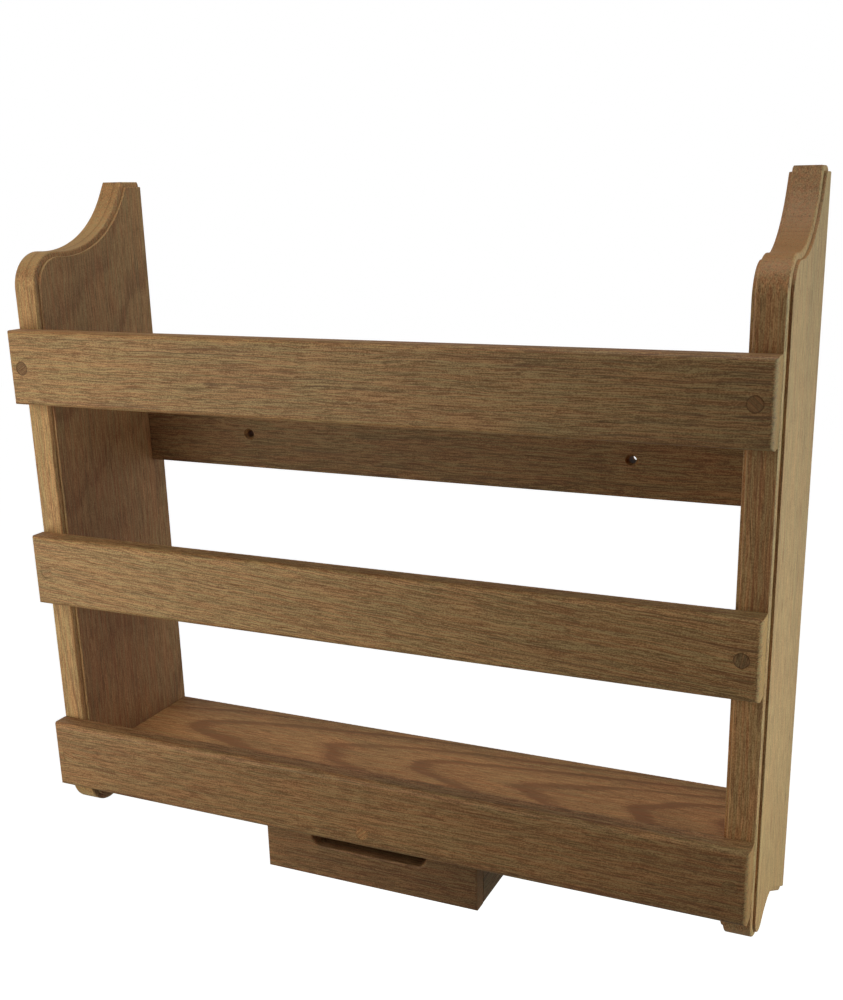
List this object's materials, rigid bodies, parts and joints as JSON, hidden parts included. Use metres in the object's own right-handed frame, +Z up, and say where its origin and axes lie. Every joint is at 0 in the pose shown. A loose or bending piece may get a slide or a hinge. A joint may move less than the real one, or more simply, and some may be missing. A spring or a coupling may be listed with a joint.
{
  "type": "magazine rack",
  "caption": "Wall-hung wooden magazine rack: scrolled side panels, open front slats, a back rail for wall screws, a bottom shelf and a small slide-out drawer below it.",
  "frame": {"origin": "centre of the back rail's rear face, where the rack is screwed to the wall", "axes": "+Z up, +Y into the wall, +X to the right of someone facing the rack"},
  "size_m": [0.45, 0.1175, 0.42],
  "materials": {
    "teak_side": "satin oiled teak, vertical grain",
    "teak_slat": "satin oiled teak, horizontal grain",
    "teak_rail": "satin oiled teak, dark",
    "teak_shelf": "satin oiled plain-sawn teak",
    "teak_drawer": "satin oiled teak",
    "teak_bung": "teak plug, sanded flush",
    "beech_dowel": "plain beech",
    "plywood": "plain plywood",
    "steel": "stainless steel"
  },
  "bodies": {
    "rack": {"back_rail": "teak_rail", "bottom_front_slat": "teak_slat", "bottom_shelf": "teak_shelf", "bottom_slat_centre_bung": "teak_bung", "bottom_slat_centre_screw": "steel", "bottom_slat_left_bung": "teak_bung", "bottom_slat_left_screw": "steel", "bottom_slat_right_bung": "teak_bung", "bottom_slat_right_screw": "steel", "left_back_shelf_dowel": "beech_dowel", "left_drawer_runner": "teak_drawer", "left_drawer_stop": "teak_drawer", "left_front_shelf_dowel": "beech_dowel", "left_lower_rail_dowel": "beech_dowel", "left_middle_shelf_dowel": "beech_dowel", "left_runner_back_screw": "steel", "left_runner_front_screw": "steel", "left_side_panel": "teak_side", "left_upper_rail_dowel": "beech_dowel", "middle_front_slat": "teak_slat", "middle_slat_left_bung": "teak_bung", "middle_slat_left_screw": "steel", "middle_slat_right_bung": "teak_bung", "middle_slat_right_screw": "steel", "right_back_shelf_dowel": "beech_dowel", "right_drawer_runner": "teak_drawer", "right_drawer_stop": "teak_drawer", "right_front_shelf_dowel": "beech_dowel", "right_lower_rail_dowel": "beech_dowel", "right_middle_shelf_dowel": "beech_dowel", "right_runner_back_screw": "steel", "right_runner_front_screw": "steel", "right_side_panel": "teak_side", "right_upper_rail_dowel": "beech_dowel", "top_front_slat": "teak_slat", "top_slat_left_bung": "teak_bung", "top_slat_left_screw": "steel", "top_slat_right_bung": "teak_bung", "top_slat_right_screw": "steel"},
    "drawer": {"drawer_front": "teak_drawer", "drawer_left_side": "teak_drawer", "drawer_right_side": "teak_drawer", "drawer_back": "teak_drawer", "drawer_floor": "plywood"}
  },
  "joints": [
    {"name": "drawer_slide", "type": "slide", "parent": "rack", "child": "drawer", "axis": [0, -1, 0], "range_m": [0, 0.061]}
  ]
}
